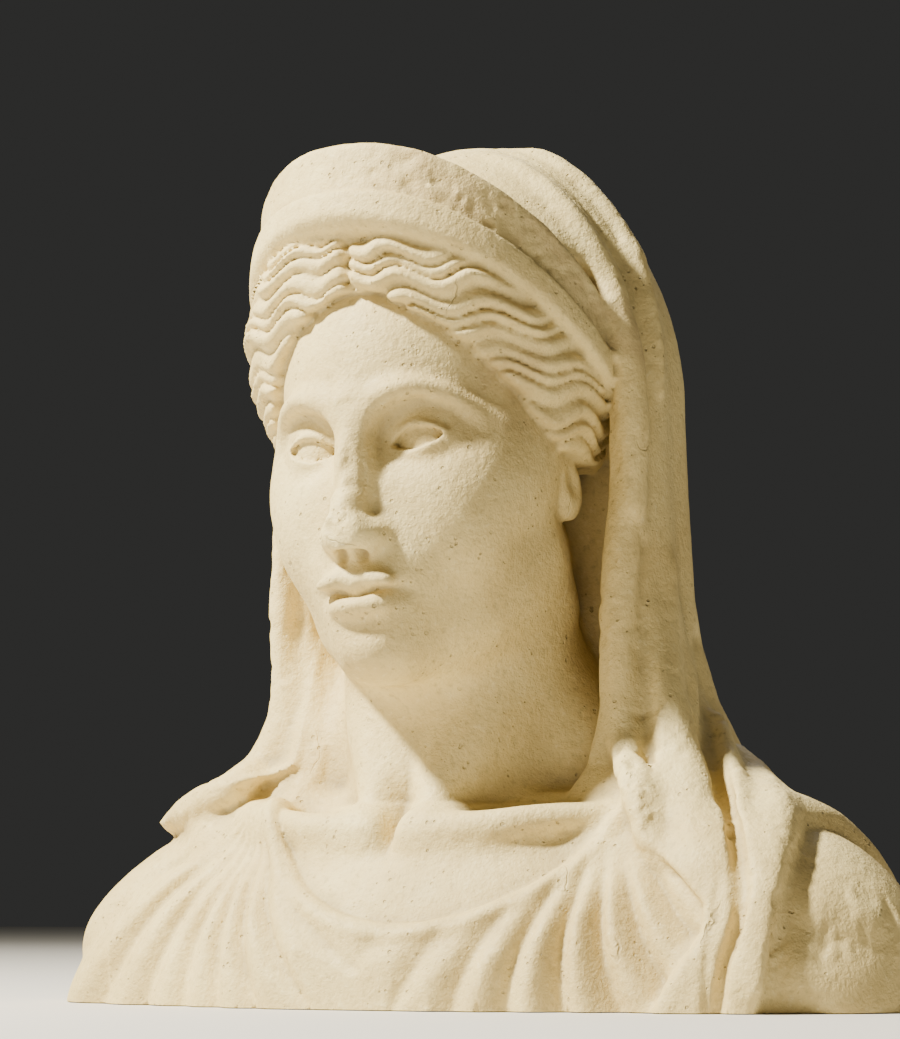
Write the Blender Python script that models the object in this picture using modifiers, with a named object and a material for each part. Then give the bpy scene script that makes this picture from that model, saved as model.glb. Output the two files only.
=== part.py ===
# Veiled bust of a woman, carved from one block of marble and cut off flat below the shoulders.
# The carving is free form: masses, cloth layers, folds and locks are joined as distance
# formulas, the surface of the result is netted on a grid and thinned to a light solid.
# The bust faces -Y, its left side is +X, and it stands on z = 0.
import math

import bmesh
import bpy
import numpy as np

for old in list(bpy.data.objects):
    bpy.data.objects.remove(old)

BUST_HEIGHT = 0.467        # underside to the top of the veil
FORM_HEIGHT = 467.0        # the same height in the units that the carving is written in
UNIT = BUST_HEIGHT / FORM_HEIGHT
GRID_STEP = 3.0            # in carving units
TRIANGLES = 9200
MARBLE = (0.78, 0.68, 0.50, 1.0)

HEAD_AT = np.array([-3.0, -14.0, 295.0])   # between the eyes, on the head's own axis
HEAD_TILT = (3.0, -3.0, 1.0)               # degrees: bowed, leaning to its right, turned to its left
DIADEM_TILT = (0.0, 0.0, -5.0)


def ramp(v, a, b):
    return np.clip((v - a) / (b - a), 0, 1)


def blend_min(a, b, k):
    h = np.maximum(k - np.abs(a - b), 0) / k
    return np.minimum(a, b) - h * h * k * 0.25


def blend_max(a, b, k):
    return -blend_min(-a, -b, k)


def turned(ax=0.0, ay=0.0, az=0.0):
    ax, ay, az = math.radians(ax), math.radians(ay), math.radians(az)
    cx, sx, cy, sy, cz, sz = math.cos(ax), math.sin(ax), math.cos(ay), math.sin(ay), math.cos(az), math.sin(az)
    rx = np.array([[1, 0, 0], [0, cx, -sx], [0, sx, cx]])
    ry = np.array([[cy, 0, sy], [0, 1, 0], [-sy, 0, cy]])
    rz = np.array([[cz, -sz, 0], [sz, cz, 0], [0, 0, 1]])
    return rz @ ry @ rx


def curve(points, count=24):
    # smooth curve through a few points
    p = np.array(points, float)
    e = np.vstack([2 * p[0] - p[1], p, 2 * p[-1] - p[-2]])
    out = []
    for i in range(1, len(e) - 2):
        a, b, c, d = e[i - 1:i + 3]
        for t in np.linspace(0, 1, max(1, count // (len(p) - 1)), endpoint=False):
            out.append(0.5 * (2 * b + (c - a) * t + (2 * a - 5 * b + 4 * c - d) * t * t
                              + (3 * b - a - 3 * c + d) * t ** 3))
    return np.array(out + [p[-1]])


class Ball:
    # ellipsoid
    def __init__(self, centre, radii, tilt=None):
        self.c, self.r = np.array(centre, float), np.array(radii, float)
        self.m = turned(*tilt) if tilt else None
        reach = np.full(3, self.r.max()) if tilt else self.r
        self.low, self.high = self.c - reach, self.c + reach

    def __call__(self, p):
        q = p - self.c
        if self.m is not None:
            q = q @ self.m
        k0 = np.sqrt(((q / self.r) ** 2).sum(1))
        k1 = np.sqrt(((q / self.r ** 2) ** 2).sum(1))
        return k0 * (k0 - 1) / np.maximum(k1, 1e-6)


class Rope:
    # chain of round cones
    def __init__(self, points, radii):
        self.p = np.array(points, float)
        spread = np.linspace(0, 1, len(self.p))
        self.r = np.interp(spread, np.linspace(0, 1, len(radii)), radii)
        self.low = (self.p - self.r[:, None]).min(0)
        self.high = (self.p + self.r[:, None]).max(0)

    def __call__(self, p):
        out = np.full(len(p), 60.0)
        for a, b, ra, rb in zip(self.p[:-1], self.p[1:], self.r[:-1], self.r[1:]):
            q, ab = p - a, b - a
            t = np.clip(q @ ab / max(ab @ ab, 1e-9), 0, 1)
            out = np.minimum(out, np.sqrt(((q - t[:, None] * ab) ** 2).sum(1)) - (ra + (rb - ra) * t))
        return out


class Clay:
    # the work in progress: points and their distance to the surface, negative inside
    def __init__(self, points, depth, both=False):
        self.p, self.d = points, depth
        if both:
            self.p = points * 1.0
            self.p[:, 0] = np.abs(self.p[:, 0])

    def near(self, shape, k):
        return np.flatnonzero(((self.p > shape.low - k - 4) & (self.p < shape.high + k + 4)).all(1))

    def add(self, shape, k=0.5):
        i = self.near(shape, k)
        self.d[i] = blend_min(self.d[i], shape(self.p[i]), k)

    def cut(self, shape, k=0.5):
        i = self.near(shape, k)
        self.d[i] = blend_max(self.d[i], -shape(self.p[i]), k)

    def engrave(self, weight, amount):
        i = np.flatnonzero(np.abs(self.d) < 12)
        self.d[i] += amount * weight(self.p[i])


class Almond:
    # opening between the eyelids
    def __init__(self, eye):
        self.eye = eye
        self.low = np.array([eye[0] - 18, -110, eye[2] - 9])
        self.high = np.array([eye[0] + 18, -62, eye[2] + 11])

    def __call__(self, p):
        t = (p[:, 0] - self.eye[0]) / 15
        full = np.clip(1 - t * t, 0, 1)
        z = p[:, 2] - self.eye[2] - 1.4 * t
        lids = np.maximum(z - 8.0 * full ** 0.8, -5.6 * full ** 0.85 - z)
        return np.maximum(lids, np.maximum((np.abs(t) - 1) * 15, p[:, 1] + 76.0))


# Trunk, chiton and the veil's ends on the shoulders

HEM_Z = [0, 12, 21, 31, 40, 53, 65, 74, 85, 106, 133, 150]        # veil's hem on the left breast
HEM_X = [160, 164, 169, 175, 180, 178, 166, 154, 139, 128, 113, 112]
FLAP_Z = [0, 16, 31, 50, 70, 85, 100, 115]                        # veil's outer edge on the left arm
FLAP_X = [211, 212, 214, 215, 212, 208, 202, 192]
UNDER_X = [-230, -178, -172, -162, -150, -135, -120, -100, -80]   # lower edge on the right shoulder
UNDER_Z = [96, 96, 99, 99, 102, 112, 114, 120, 128]
VEIL_ON_LEFT, VEIL_ON_RIGHT = 17, 15                              # thickness of its folds there
GATHERS = ((106, 108, 1, 14.0, 3.0), (-92, 108, -1, 15.0, 0.0))   # x, z, side, pitch and phase in degrees


def chiton(body):
    p, d = body.p, body.d
    i = np.flatnonzero((np.abs(d) < 30) & (p[:, 2] < 140))
    x, y, z = p[i].T
    skin = (1 - np.sqrt(((x - 20) / 98) ** 2 + ((z - 126) / 82) ** 2)) * 92 - np.maximum(y + 8, 0)
    folds = np.zeros(len(i))
    for gx, gz, side, pitch, phase in GATHERS:
        angle = np.degrees(np.arctan2((gx - x) * side, gz - z))
        away = np.hypot(x - gx, z - gz)
        reach = ramp(away, 10, 65) * ramp(side * x, -14, 14) * ramp(y, 45, 0) * ramp(angle, -78, -50)
        turn = (angle + phase + 2.5 * np.sin(away / 24 + 1.3 * side)) / pitch
        fold = np.floor(turn)
        height = 0.75 + 0.45 * np.abs(np.sin(fold * 2.7 + side))
        folds += 6 * reach * height * np.sin(math.pi * (turn - fold)) ** 1.3
    folds = folds * (0.3 + 0.7 * ramp(-skin, 6, 32))
    hem = 2.5 * np.exp(-((skin + 6) / 4.5) ** 2)
    d[i] = np.minimum(d[i], blend_max(d[i] - 3.5 - folds - hem, skin, 4.5))


def trunk(p):
    d = np.full(len(p), 1000.0)
    body, half = Clay(p, d), Clay(p, d, both=True)
    body.add(Ball((0, 14, -30), (180, 118, 132)))
    body.add(Ball((0, 4, 30), (150, 92, 76)), 40)
    body.add(Ball((-158, 18, 0), (82, 76, 90)), 45)
    body.add(Ball((177, 14, 4), (84, 75, 89)), 45)
    half.add(Rope([(36, 26, 160), (95, 26, 104), (155, 24, 48)], [34, 32, 28]), 36)
    body.add(Rope([(0, 8, 235), (0, 14, 100)], [58, 62]), 26)
    half.add(Rope([(56, 6, 212), (34, -30, 150), (11, -58, 96)], [9, 9, 7]), 24)
    body.cut(Ball((0, -72, 98), (11, 13, 11)), 22)
    half.add(Rope(curve([(12, -68, 91), (50, -66, 94), (90, -46, 99), (130, -12, 98)], 12), [5, 6, 6, 6]), 22)
    bare = d.copy()
    chiton(body)
    x, y, z = p.T
    outer = x - np.interp(z, FLAP_Z, FLAP_X) - 0.15 * np.maximum(y, 0)
    left = blend_max(bare - VEIL_ON_LEFT, 0.9 * np.maximum(np.interp(z, HEM_Z, HEM_X) - x, outer), 7)
    under = np.maximum(np.interp(x, UNDER_X, UNDER_Z) - z, x + 84)
    cover = VEIL_ON_RIGHT * np.maximum(ramp(under, 5, -3), ramp(y, 5, 75))   # thins out round the arm
    right = blend_max(bare - cover, 0.8 * np.minimum(under, np.maximum(x + 60, 5 - y)), 6)
    return blend_min(blend_min(d, left, 2), right, 2)


# Veil

KEY_Z = [0, 40, 72, 93, 109, 120, 136, 163, 190, 217, 271, 316]
LEFT_WIDTH = [226, 216, 200, 184, 170, 159, 144, 128, 119, 114, 111, 109]
RIGHT_WIDTH = [200, 192, 184, 178, 170, 158, 134, 117, 110, 109, 109, 109]
DEPTH = [112, 112, 112, 112, 112, 112, 112, 112, 112, 113, 114, 113]
VEIL_Y = 28
CROWN = Ball((0, VEIL_Y, 316), (109, 113, 151))


def hanging(p):
    z, y = p[:, 2], p[:, 1] - VEIL_Y
    a = np.where(p[:, 0] > 0, np.interp(z, KEY_Z, LEFT_WIDTH), np.interp(z, KEY_Z, RIGHT_WIDTH))
    b = np.interp(z, KEY_Z, DEPTH)
    k0 = np.sqrt((p[:, 0] / a) ** 2 + (y / b) ** 2)
    k1 = np.sqrt((p[:, 0] / a / a) ** 2 + (y / b / b) ** 2)
    spread = np.interp(z, [70, 95, 125, 160, 190], [1.6, 1.3, 1.0, 0.4, 0.0])
    return k0 * (k0 - 1) / np.maximum(k1, 1e-5) / np.sqrt(1 + spread ** 2)


def veil(p):
    x, y, z = p.T
    outer = np.where(z > 316, CROWN(p), hanging(p))
    around = np.arctan2(x, VEIL_Y - y)
    wave = np.sin(around * 17 + 0.9 * np.sin(z / 60 + 2 * around) + 0.5 * np.sin(3 * around))
    fade = (0.75 * ramp(z, 470, 330) + 0.25 * ramp(z, 440, 400)) * (0.55 + 0.45 * ramp(z, 300, 80))
    outer = outer - 3.2 * ramp(y, 5, 50) * wave * fade
    front = np.interp(z, [0, 60, 95, 125, 160, 200, 300], [-62, -62, -40, -18, -8, -4, -2])
    d = blend_max(outer, np.minimum(front - y, 392 - 0.62 * (y + 15) - z), 8)
    hollow = (np.sqrt((x / 95) ** 2 + ((y - VEIL_Y) / 97) ** 2) - 1) * 95
    hollow = np.maximum(np.maximum(hollow, y - 40), np.maximum(112 - z, z - 325))
    return blend_max(d, -hollow, 8)


ROLLS = (   # raised folds: points, radii, softness
    ([(24, -6, 452), (43, -6, 444), (64, -6, 427), (80, -4, 406), (89, 0, 389), (98, 0, 365), (104, 0, 339),
      (107, 0, 300), (108, -2, 262)], [4, 6, 7, 7.5, 8, 8.5, 9, 9, 6], 6),
    ([(14, 26, 463), (38, 27, 460), (58, 30, 445), (75, 32, 424), (92, 30, 399), (101, 27, 374), (107, 26, 350),
      (110, 26, 326)], [2, 4, 6, 7, 7, 6, 5, 2], 6),
    ([(104, 4, 271), (101, 1, 244), (100, 0, 212), (101, -2, 186), (103, -4, 159), (111, -11, 135),
      (129, -36, 111), (138, -41, 91)], [6, 9, 11, 11, 10, 10, 9, 7], 7),
    ([(111, 30, 232), (113, 22, 203), (120, 8, 170), (131, -5, 138), (149, -21, 106), (171, -46, 75),
      (179, -46, 53)], [2, 6, 9, 12, 13, 11, 7], 12),
    ([(134, 42, 152), (148, 21, 128), (173, -15, 101), (193, -45, 70), (202, -59, 41), (202, -66, 14)],
     [3, 8, 10, 10, 9, 8], 9),
    ([(140, 58, 134), (159, 39, 120), (189, -4, 101), (205, -37, 75), (209, -56, 45), (209, -65, 14)],
     [3, 7, 9, 8, 8, 8], 9),
    ([(-78, -2, 408), (-92, -2, 385), (-100, -2, 355), (-105, -2, 320), (-106, -4, 260), (-107, -8, 210),
      (-105, -8, 165)], [1, 4, 6, 8, 8, 7, 4], 8),
    ([(-106, 2, 199), (-104, -4, 165), (-107, -9, 143), (-115, -15, 128), (-120, -34, 117),
      (-144, -28, 109), (-163, -17, 104), (-184, 2, 99)], [9, 10, 10, 9, 9, 9, 8, 6], 7),
    ([(-95, 21, 205), (-86, 12, 172), (-80, 2, 142), (-83, -8, 112)], [8, 12, 15, 15], 18),
    ([(104, -14, 140), (118, -32, 121), (133, -45, 103), (140, -49, 85), (154, -46, 73), (168, -46, 64), (179, -54, 52),
      (182, -60, 40), (175, -66, 26), (166, -74, 8), (160, -79, -10)], [2, 5, 6, 6, 6, 6, 6.5, 6.5, 6, 6, 6], 7),
)
FURROWS = (
    ([(20, 11, 463), (43, 11, 456), (66, 12, 438), (82, 13, 418), (94, 14, 400), (103, 13, 375), (110, 13, 345),
      (113, 12, 312), (114, 10, 275)], [1.5, 2.5, 3, 3.5, 4, 4.5, 5, 4, 2], 4),
    ([(133, 12, 152), (146, 4, 133), (164, -13, 111), (184, -40, 88), (196, -60, 64), (198, -67, 44),
      (193, -73, 22), (190, -76, -8)], [1, 3, 4, 4, 4, 3.5, 3, 2.5], 5),
    ([(111, 6, 240), (113, 0, 205), (117, -7, 172), (121, -14, 145), (128, -26, 120), (136, -40, 98)],
     [1, 2.5, 3, 2.5, 1.5, 0.5], 9),
    ([(114, 63, 195), (131, 39, 161), (150, 6, 128), (170, -23, 101)], [2, 5, 5, 3], 8),
    ([(212, 52, 106), (215, 30, 103), (217, 8, 98), (218, -16, 87), (219, -38, 73), (220, -54, 50), (219, -62, 30),
      (218, -66, 12), (217, -68, -10)], [1, 2.5, 4, 5, 5.5, 6, 6, 6, 6], 6),
)


def veil_folds(bust):
    for points, radii, soft in ROLLS:
        bust.add(Rope(curve(points, 30), radii), soft)
    for points, radii, soft in FURROWS:
        bust.cut(Rope(curve(points, 30), radii), soft)


# Head, in its own frame: eyes level with z = 0

def lid_rim(eye, rise):
    # edge of an eyelid, rising above or falling below the middle of the eye
    t = np.linspace(-1, 1, 15)
    x, z = 15.6 * t, rise * (1 - t * t) ** 0.85 + 1.4 * t
    y = -np.sqrt(20.3 ** 2 - x * x - z * z)
    return np.stack([x, y, z], -1) + eye


def lip_line(q):
    x = np.abs(q[:, 0])
    middle = -78 - 1.6 * np.cos(x / 16 * math.pi) * ramp(x, 26, 12)
    return (q[:, 1] < -60) * np.exp(-((q[:, 2] - middle) / 1.4) ** 2) * ramp(x, 27, 20)


def face(head, half):
    head.add(Ball((0, 4, 30), (78, 97, 93)))
    head.add(Ball((0, -30, -48), (62, 64, 74)), 30)
    half.add(Rope([(49, -4, -60), (34, -40, -90), (10, -70, -105)], [16, 15, 14]), 26)
    head.add(Ball((0, -79, -103), (18, 18, 17)), 22)
    half.add(Ball((38, -58, -38), (27, 24, 32)), 24)
    half.add(Ball((59, -30, -14), (15, 28, 24)), 26)
    head.add(Ball((0, -74, -72), (30, 25, 26)), 18)
    # eye sockets and brows
    half.cut(Ball((31, -103, 3), (27, 23, 14), (0, -4, 14)), 18)
    half.cut(Ball((15, -98, 4), (7, 12, 12)), 8)
    brow = [(9, -91, 17), (20, -90.5, 23.5), (34, -87, 26), (48, -77, 21.5), (58, -64, 12), (65, -50, 0)]
    half.add(Rope(curve(brow, 16), [4.2, 4.2, 3.8, 3.2, 2.6, 1.5]), 10)
    # nose
    head.add(Rope([(0, -87, 20), (0, -93, 4), (0, -99, -24), (0, -105, -46)], [8.5, 8, 9, 10.5]), 12)
    head.add(Ball((0, -108, -47), (10.5, 11, 9.5)), 5)
    half.add(Ball((11.5, -97, -49), (7.5, 12, 7.5), (0, 0, -16)), 7)
    half.cut(Ball((5.6, -103, -59), (3.2, 6.5, 5.0), (0, 0, -14)), 2)
    # its tip is broken off
    head.cut(Ball((1, -126, -42), (16, 13, 25)), 5)
    # eyes
    eye = (31.5, -63.5, -1)
    half.add(Ball(eye, (21.4, 21.4, 21.4)), 3.5)
    half.cut(Almond(eye), 0.8)
    half.add(Ball(eye, (17.9, 17.9, 17.9)), 0.5)
    for rise, radius in ((8.6, 1.9), (-6.2, 1.5)):
        half.add(Rope(lid_rim(eye, rise), [0.7, radius, radius, radius, 0.7]), 1.2)
    crease = [(13.5, -85, 1), (21, -87, 10), (31, -86.5, 12.5), (42, -80, 9.5), (47, -75, 5)]
    half.cut(Rope(curve(crease, 16), [0.9, 1.4, 1.6, 1.4, 0.8]), 3.5)
    # mouth and chin
    half.add(Ball((8.5, -97, -70), (15, 8, 5.2), (0, 14, -20)), 4)
    head.add(Ball((0, -99.5, -71.5), (5, 5.5, 4.5)), 4)
    head.add(Ball((0, -95.5, -85), (18.5, 9.5, 7.2)), 4)
    head.engrave(lip_line, 2.6)
    half.cut(Ball((26, -94, -79), (3, 4, 3)), 6)
    head.cut(Rope([(0, -107, -58), (0, -108, -66)], [3.2, 3.4]), 5)
    head.cut(Ball((0, -109, -97), (20, 10, 5.5)), 9)


HAIRLINE = ([0, 8, 15, 30, 45, 60, 68, 80, 95, 125], [80, 78, 74, 62, 44, 22, 4, -8, -13, -16])
LOCK_WAVE = 42.0           # length, height and width of a wavy lock, and its depth
LOCK_HEIGHT = 3.1
LOCK_WIDTH = 8.4
LOCK_DEPTH = 4.6
LOCK_DROP = 0.13           # fall of a lock on its way back


def hair(head, half):
    # wavy locks run back on both sides from a centre parting, each with a rounded end at the skin
    p, d = head.p, head.d
    i = np.flatnonzero((p[:, 2] > -60) & (p[:, 2] < 140) & (p[:, 1] < 60))
    x, y, z = p[i].T
    ring = np.sqrt((x / 93) ** 2 + ((y - 2) / 101) ** 2)
    mass = ((ring ** 2.7 + (np.abs(z - 30) / 110) ** 2.7) ** (1 / 2.7) - 1) * 97
    near = np.flatnonzero(mass < 22)
    i, x, y, z, mass = i[near], x[near], y[near], z[near], mass[near]
    side = np.sign(x)
    turn = np.degrees(np.arctan2(np.abs(x), -0.9 * (y - 2)))
    arc = np.radians(turn) * 97
    rise = z - np.interp(turn, *HAIRLINE)
    grow = ramp(turn, 1, 11)
    phase = 2 * math.pi * arc / LOCK_WAVE
    level = z + LOCK_DROP * arc + LOCK_HEIGHT * grow * np.sin(phase + 0.05 * z + 1.0 + 0.6 * side)
    level = level + 1.1 * grow * np.sin(0.047 * arc + 0.13 * z + 2 * side)
    place = level / LOCK_WIDTH + 0.25 * side
    place = place + 0.2 * np.sin(2.1 * place + side)
    lock = np.floor(place)
    f = place - lock
    lift = np.sin(lock * 12.9898 + side * 4.1) * 43758.5453
    lift = lift - np.floor(lift)
    dome = np.sin(math.pi * f) ** 0.75
    relief = dome * (LOCK_DEPTH + grow * (1.8 * (lift - 0.5) + 1.0 * np.sin(0.7 * phase + 6 * lift)))
    relief = relief - 3.5 * np.exp(-(x / 2.6) ** 2)
    thin = 13.5 * ramp(rise, 38, -2)
    edge = -0.8 * (rise + 0.5) + 2.6 * (1 - dome) * grow
    locks = blend_max(mass - relief - 3.2 + thin, edge, 3.5)
    locks = np.maximum(locks, z - 50 + 0.7 * y + 0.05 * x)
    d[i] = blend_min(d[i], locks, 1.0)
    # lower half of each ear
    half.add(Ball((71, 6, -26), (8, 11, 18), (14, 0, 0)), 5)
    half.cut(Ball((79, 3, -24), (4, 5, 9), (14, 0, 0)), 3)


def diadem(head):
    # upright band, higher in front, with a plain fillet along its lower edge
    p, d = head.p, head.d
    i = np.flatnonzero((p[:, 2] > 10) & (p[:, 1] < 45))
    x, y, z = p[i, 0], p[i, 1] - 2, p[i, 2]
    low = 38 - 0.7 * y
    high = blend_min(83 - 0.79 * y, np.full(len(y), 158.0), 10)
    t = (z - low) / (high - low)
    swell = np.interp(t, [-0.1, 0.0, 0.06, 0.33, 0.38, 0.42, 0.9, 1.0], [-2, 2.5, 4.0, 4.2, 3.6, 0, 1.5, 1.5])
    a, b = 100 + swell - 2 * t, 101 + swell - 9 * t
    k0 = np.sqrt((x / a) ** 2 + (y / b) ** 2)
    k1 = np.sqrt((x / a ** 2) ** 2 + (y / b ** 2) ** 2)
    wall = k0 * (k0 - 1) / np.maximum(k1, 1e-5)
    band = blend_max(wall, 0.85 * np.maximum(z - high, low - z), 5)
    hollow = np.maximum(wall + 12, 0.85 * (high - 5 - z))
    band = np.maximum(blend_max(band, -hollow, 3), y - 32)
    # the veil drawn forward over the head to the back of the rim
    crown = 46 * np.clip(1 - (x / a) ** 2 - (y / b) ** 2, 0, 1)
    cap = np.maximum(np.maximum(wall + 3, 0.85 * (z - high + 6 - crown)), low + 20 - z)
    d[i] = np.minimum(blend_min(d[i], cap, 14), band)


def bust_depth(p):
    d = blend_min(trunk(p), veil(p), 6)
    veil_folds(Clay(p, d))
    q = (p - HEAD_AT) @ turned(*HEAD_TILT)
    head, half = Clay(q, d), Clay(q, d, both=True)
    face(head, half)
    hair(head, half)
    diadem(Clay((p - HEAD_AT) @ turned(*DIADEM_TILT), d))
    return d


# Surface of the carving as a mesh

BOX_LOW = np.array([-291.0, -150.0, -12.0])
BOX_HIGH = np.array([300.0, 165.0, 486.0])
BLOCK = 4                  # grid steps to a coarse cell
CORNERS = [(i, j, k) for i in (0, 1) for j in (0, 1) for k in (0, 1)]


def sample(step):
    # the depth on a fine grid, worked out only in the coarse cells that the surface may cross
    wide = step * BLOCK
    cells = np.ceil((BOX_HIGH - BOX_LOW) / wide).astype(int)
    axes = [BOX_LOW[a] + wide * np.arange(cells[a] + 1) for a in range(3)]
    nodes = np.stack(np.meshgrid(*axes, indexing="ij"), -1).reshape(-1, 3)
    coarse = np.concatenate([bust_depth(b) for b in np.array_split(nodes, 8)]).reshape(cells + 1)
    close = np.abs(coarse) < 1.6 * wide
    hit = np.zeros(cells, bool)
    for i, j, k in CORNERS:
        hit |= close[i:cells[0] + i, j:cells[1] + j, k:cells[2] + k]
    depth = np.where(coarse[:-1, :-1, :-1] < 0, -wide, wide).astype(np.float32)
    for a in range(3):
        depth, hit = depth.repeat(BLOCK, a), hit.repeat(BLOCK, a)
    spots = np.flatnonzero(hit)
    flat = depth.reshape(-1)
    for part in np.array_split(spots, max(1, len(spots) // 300000)):
        where = np.stack(np.unravel_index(part, depth.shape), -1)
        flat[part] = bust_depth(BOX_LOW + where * step)
    depth = flat.reshape(depth.shape)
    for a in range(3):
        edge = [slice(None)] * 3
        for end in (0, -1):
            edge[a] = end
            depth[tuple(edge)] = wide
    return depth


def net(depth, step):
    # one vertex in each cell that the surface crosses, one quad on each grid edge that it crosses
    inside = depth < 0
    n = np.array(depth.shape) - 1
    count = sum(inside[i:n[0] + i, j:n[1] + j, k:n[2] + k].astype(np.int8) for i, j, k in CORNERS)
    cell = np.flatnonzero((count > 0) & (count < 8))
    at = np.stack(np.unravel_index(cell, tuple(n)), -1)
    value = {c: depth[tuple((at + c).T)] for c in CORNERS}
    total, hits = np.zeros((len(at), 3)), np.zeros(len(at))
    for a in CORNERS:
        for axis in range(3):
            if a[axis]:
                continue
            b = tuple(v + (m == axis) for m, v in enumerate(a))
            cross = (value[a] < 0) != (value[b] < 0)
            t = value[a][cross] / (value[a][cross] - value[b][cross])
            total[cross] += np.array(a) + t[:, None] * (np.array(b) - np.array(a))
            hits[cross] += 1
    points = BOX_LOW + (at + total / hits[:, None]) * step
    index = np.full(tuple(n), -1, np.int32)
    index.reshape(-1)[cell] = np.arange(len(cell))
    quads = []
    for axis in range(3):
        u, v = (axis + 1) % 3, (axis + 2) % 3
        first = np.moveaxis(inside, (axis, u, v), (0, 1, 2))
        change = first[:-1, 1:-1, 1:-1] != first[1:, 1:-1, 1:-1]
        i, j, k = np.nonzero(change)
        out = first[i, j + 1, k + 1]
        turned_index = np.moveaxis(index, (axis, u, v), (0, 1, 2))
        q = np.stack([turned_index[i, j, k], turned_index[i, j + 1, k],
                      turned_index[i, j + 1, k + 1], turned_index[i, j, k + 1]], -1)
        q[~out] = q[~out][:, ::-1]
        quads.append(q)
    return points, np.concatenate(quads)


def carve(name):
    points, quads = net(sample(GRID_STEP), GRID_STEP)
    mesh = bpy.data.meshes.new(name)
    mesh.from_pydata(points * UNIT, [], quads.tolist())
    piece = bpy.data.objects.new(name, mesh)
    collection = bpy.data.collections.new(name)
    bpy.context.scene.collection.children.link(collection)
    collection.objects.link(piece)
    bpy.context.view_layer.objects.active = piece
    piece.select_set(True)
    close = piece.modifiers.new("close", "REMESH")
    close.mode = "VOXEL"
    close.voxel_size = GRID_STEP * UNIT
    bpy.ops.object.modifier_apply(modifier=close.name)
    thin = piece.modifiers.new("thin", "DECIMATE")
    thin.ratio = TRIANGLES / (2 * len(mesh.polygons))
    bpy.ops.object.modifier_apply(modifier=thin.name)

    b = bmesh.new()
    b.from_mesh(mesh)
    # keep the largest connected body
    b.verts.ensure_lookup_table()
    seen, bodies = set(), []
    for start in b.verts:
        if start in seen:
            continue
        body, todo = [], [start]
        seen.add(start)
        while todo:
            v = todo.pop()
            body.append(v)
            for e in v.link_edges:
                w = e.other_vert(v)
                if w not in seen:
                    seen.add(w)
                    todo.append(w)
        bodies.append(body)
    bodies.sort(key=len)
    bmesh.ops.delete(b, geom=[v for body in bodies[:-1] for v in body], context="VERTS")
    # flat underside
    bmesh.ops.bisect_plane(b, geom=b.verts[:] + b.edges[:] + b.faces[:], dist=1e-6,
                           plane_co=(0, 0, 0), plane_no=(0, 0, 1), clear_inner=True)
    bmesh.ops.holes_fill(b, edges=[e for e in b.edges if e.is_boundary])
    bmesh.ops.triangulate(b, faces=b.faces[:])
    bmesh.ops.recalc_face_normals(b, faces=b.faces[:])
    # origin under the middle of the bounding box
    spots = np.array([v.co for v in b.verts])
    middle = (spots.min(0) + spots.max(0)) / 2
    bmesh.ops.translate(b, verts=b.verts[:], vec=(-middle[0], -middle[1], 0))
    b.to_mesh(mesh)
    b.free()
    mesh.shade_smooth()
    return piece


bust = carve("veiled_bust")
marble = bpy.data.materials.new("weathered_marble")
marble.use_nodes = True
surface = marble.node_tree.nodes["Principled BSDF"]
surface.inputs["Base Color"].default_value = MARBLE
surface.inputs["Roughness"].default_value = 0.75
surface.inputs["Metallic"].default_value = 0.0
bust.data.materials.append(marble)
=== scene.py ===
import math
import time

import bmesh
import bpy
import numpy as np
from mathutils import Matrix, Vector


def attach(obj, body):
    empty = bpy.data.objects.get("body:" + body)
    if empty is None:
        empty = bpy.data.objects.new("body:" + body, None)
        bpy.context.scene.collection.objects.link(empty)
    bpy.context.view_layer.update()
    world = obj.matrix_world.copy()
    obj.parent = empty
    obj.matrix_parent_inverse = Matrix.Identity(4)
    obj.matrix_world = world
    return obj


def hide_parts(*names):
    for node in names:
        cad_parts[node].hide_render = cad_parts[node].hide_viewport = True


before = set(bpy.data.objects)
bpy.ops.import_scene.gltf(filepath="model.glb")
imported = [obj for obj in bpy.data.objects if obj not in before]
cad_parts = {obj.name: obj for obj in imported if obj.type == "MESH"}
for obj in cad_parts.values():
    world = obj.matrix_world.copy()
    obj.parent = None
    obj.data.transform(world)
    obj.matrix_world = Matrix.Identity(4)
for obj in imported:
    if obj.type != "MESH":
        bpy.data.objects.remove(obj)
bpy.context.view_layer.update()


# modelling helpers: every form is a distance formula in millimetres, negative inside

def ramp(v, a, b):
    return np.clip((v - a) / (b - a), 0, 1)


def blendMin(a, b, k):
    h = np.maximum(k - np.abs(a - b), 0) / k
    return np.minimum(a, b) - h * h * k * 0.25


def blendMax(a, b, k):
    return -blendMin(-a, -b, k)


def turned(ax, ay, az):
    ax, ay, az = math.radians(ax), math.radians(ay), math.radians(az)
    cx, cy, cz = math.cos(ax), math.cos(ay), math.cos(az)
    sx, sy, sz = math.sin(ax), math.sin(ay), math.sin(az)
    rx = np.array([[1, 0, 0], [0, cx, -sx], [0, sx, cx]])
    ry = np.array([[cy, 0, sy], [0, 1, 0], [-sy, 0, cy]])
    rz = np.array([[cz, -sz, 0], [sz, cz, 0], [0, 0, 1]])
    return (rz @ ry @ rx).astype(np.float32)


def curveThrough(points, count):
    p = np.array(points, float)
    e = np.vstack([2 * p[0] - p[1], p, 2 * p[-1] - p[-2]])
    out = []
    for i in range(1, len(e) - 2):
        a, b, c, d = e[i - 1:i + 3]
        for t in np.linspace(0, 1, max(1, count // (len(p) - 1)), endpoint=False):
            out.append(0.5 * (2 * b + (c - a) * t + (2 * a - 5 * b + 4 * c - d) * t * t
                              + (3 * b - a - 3 * c + d) * t ** 3))
    return np.array(out + [p[-1]])


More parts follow.
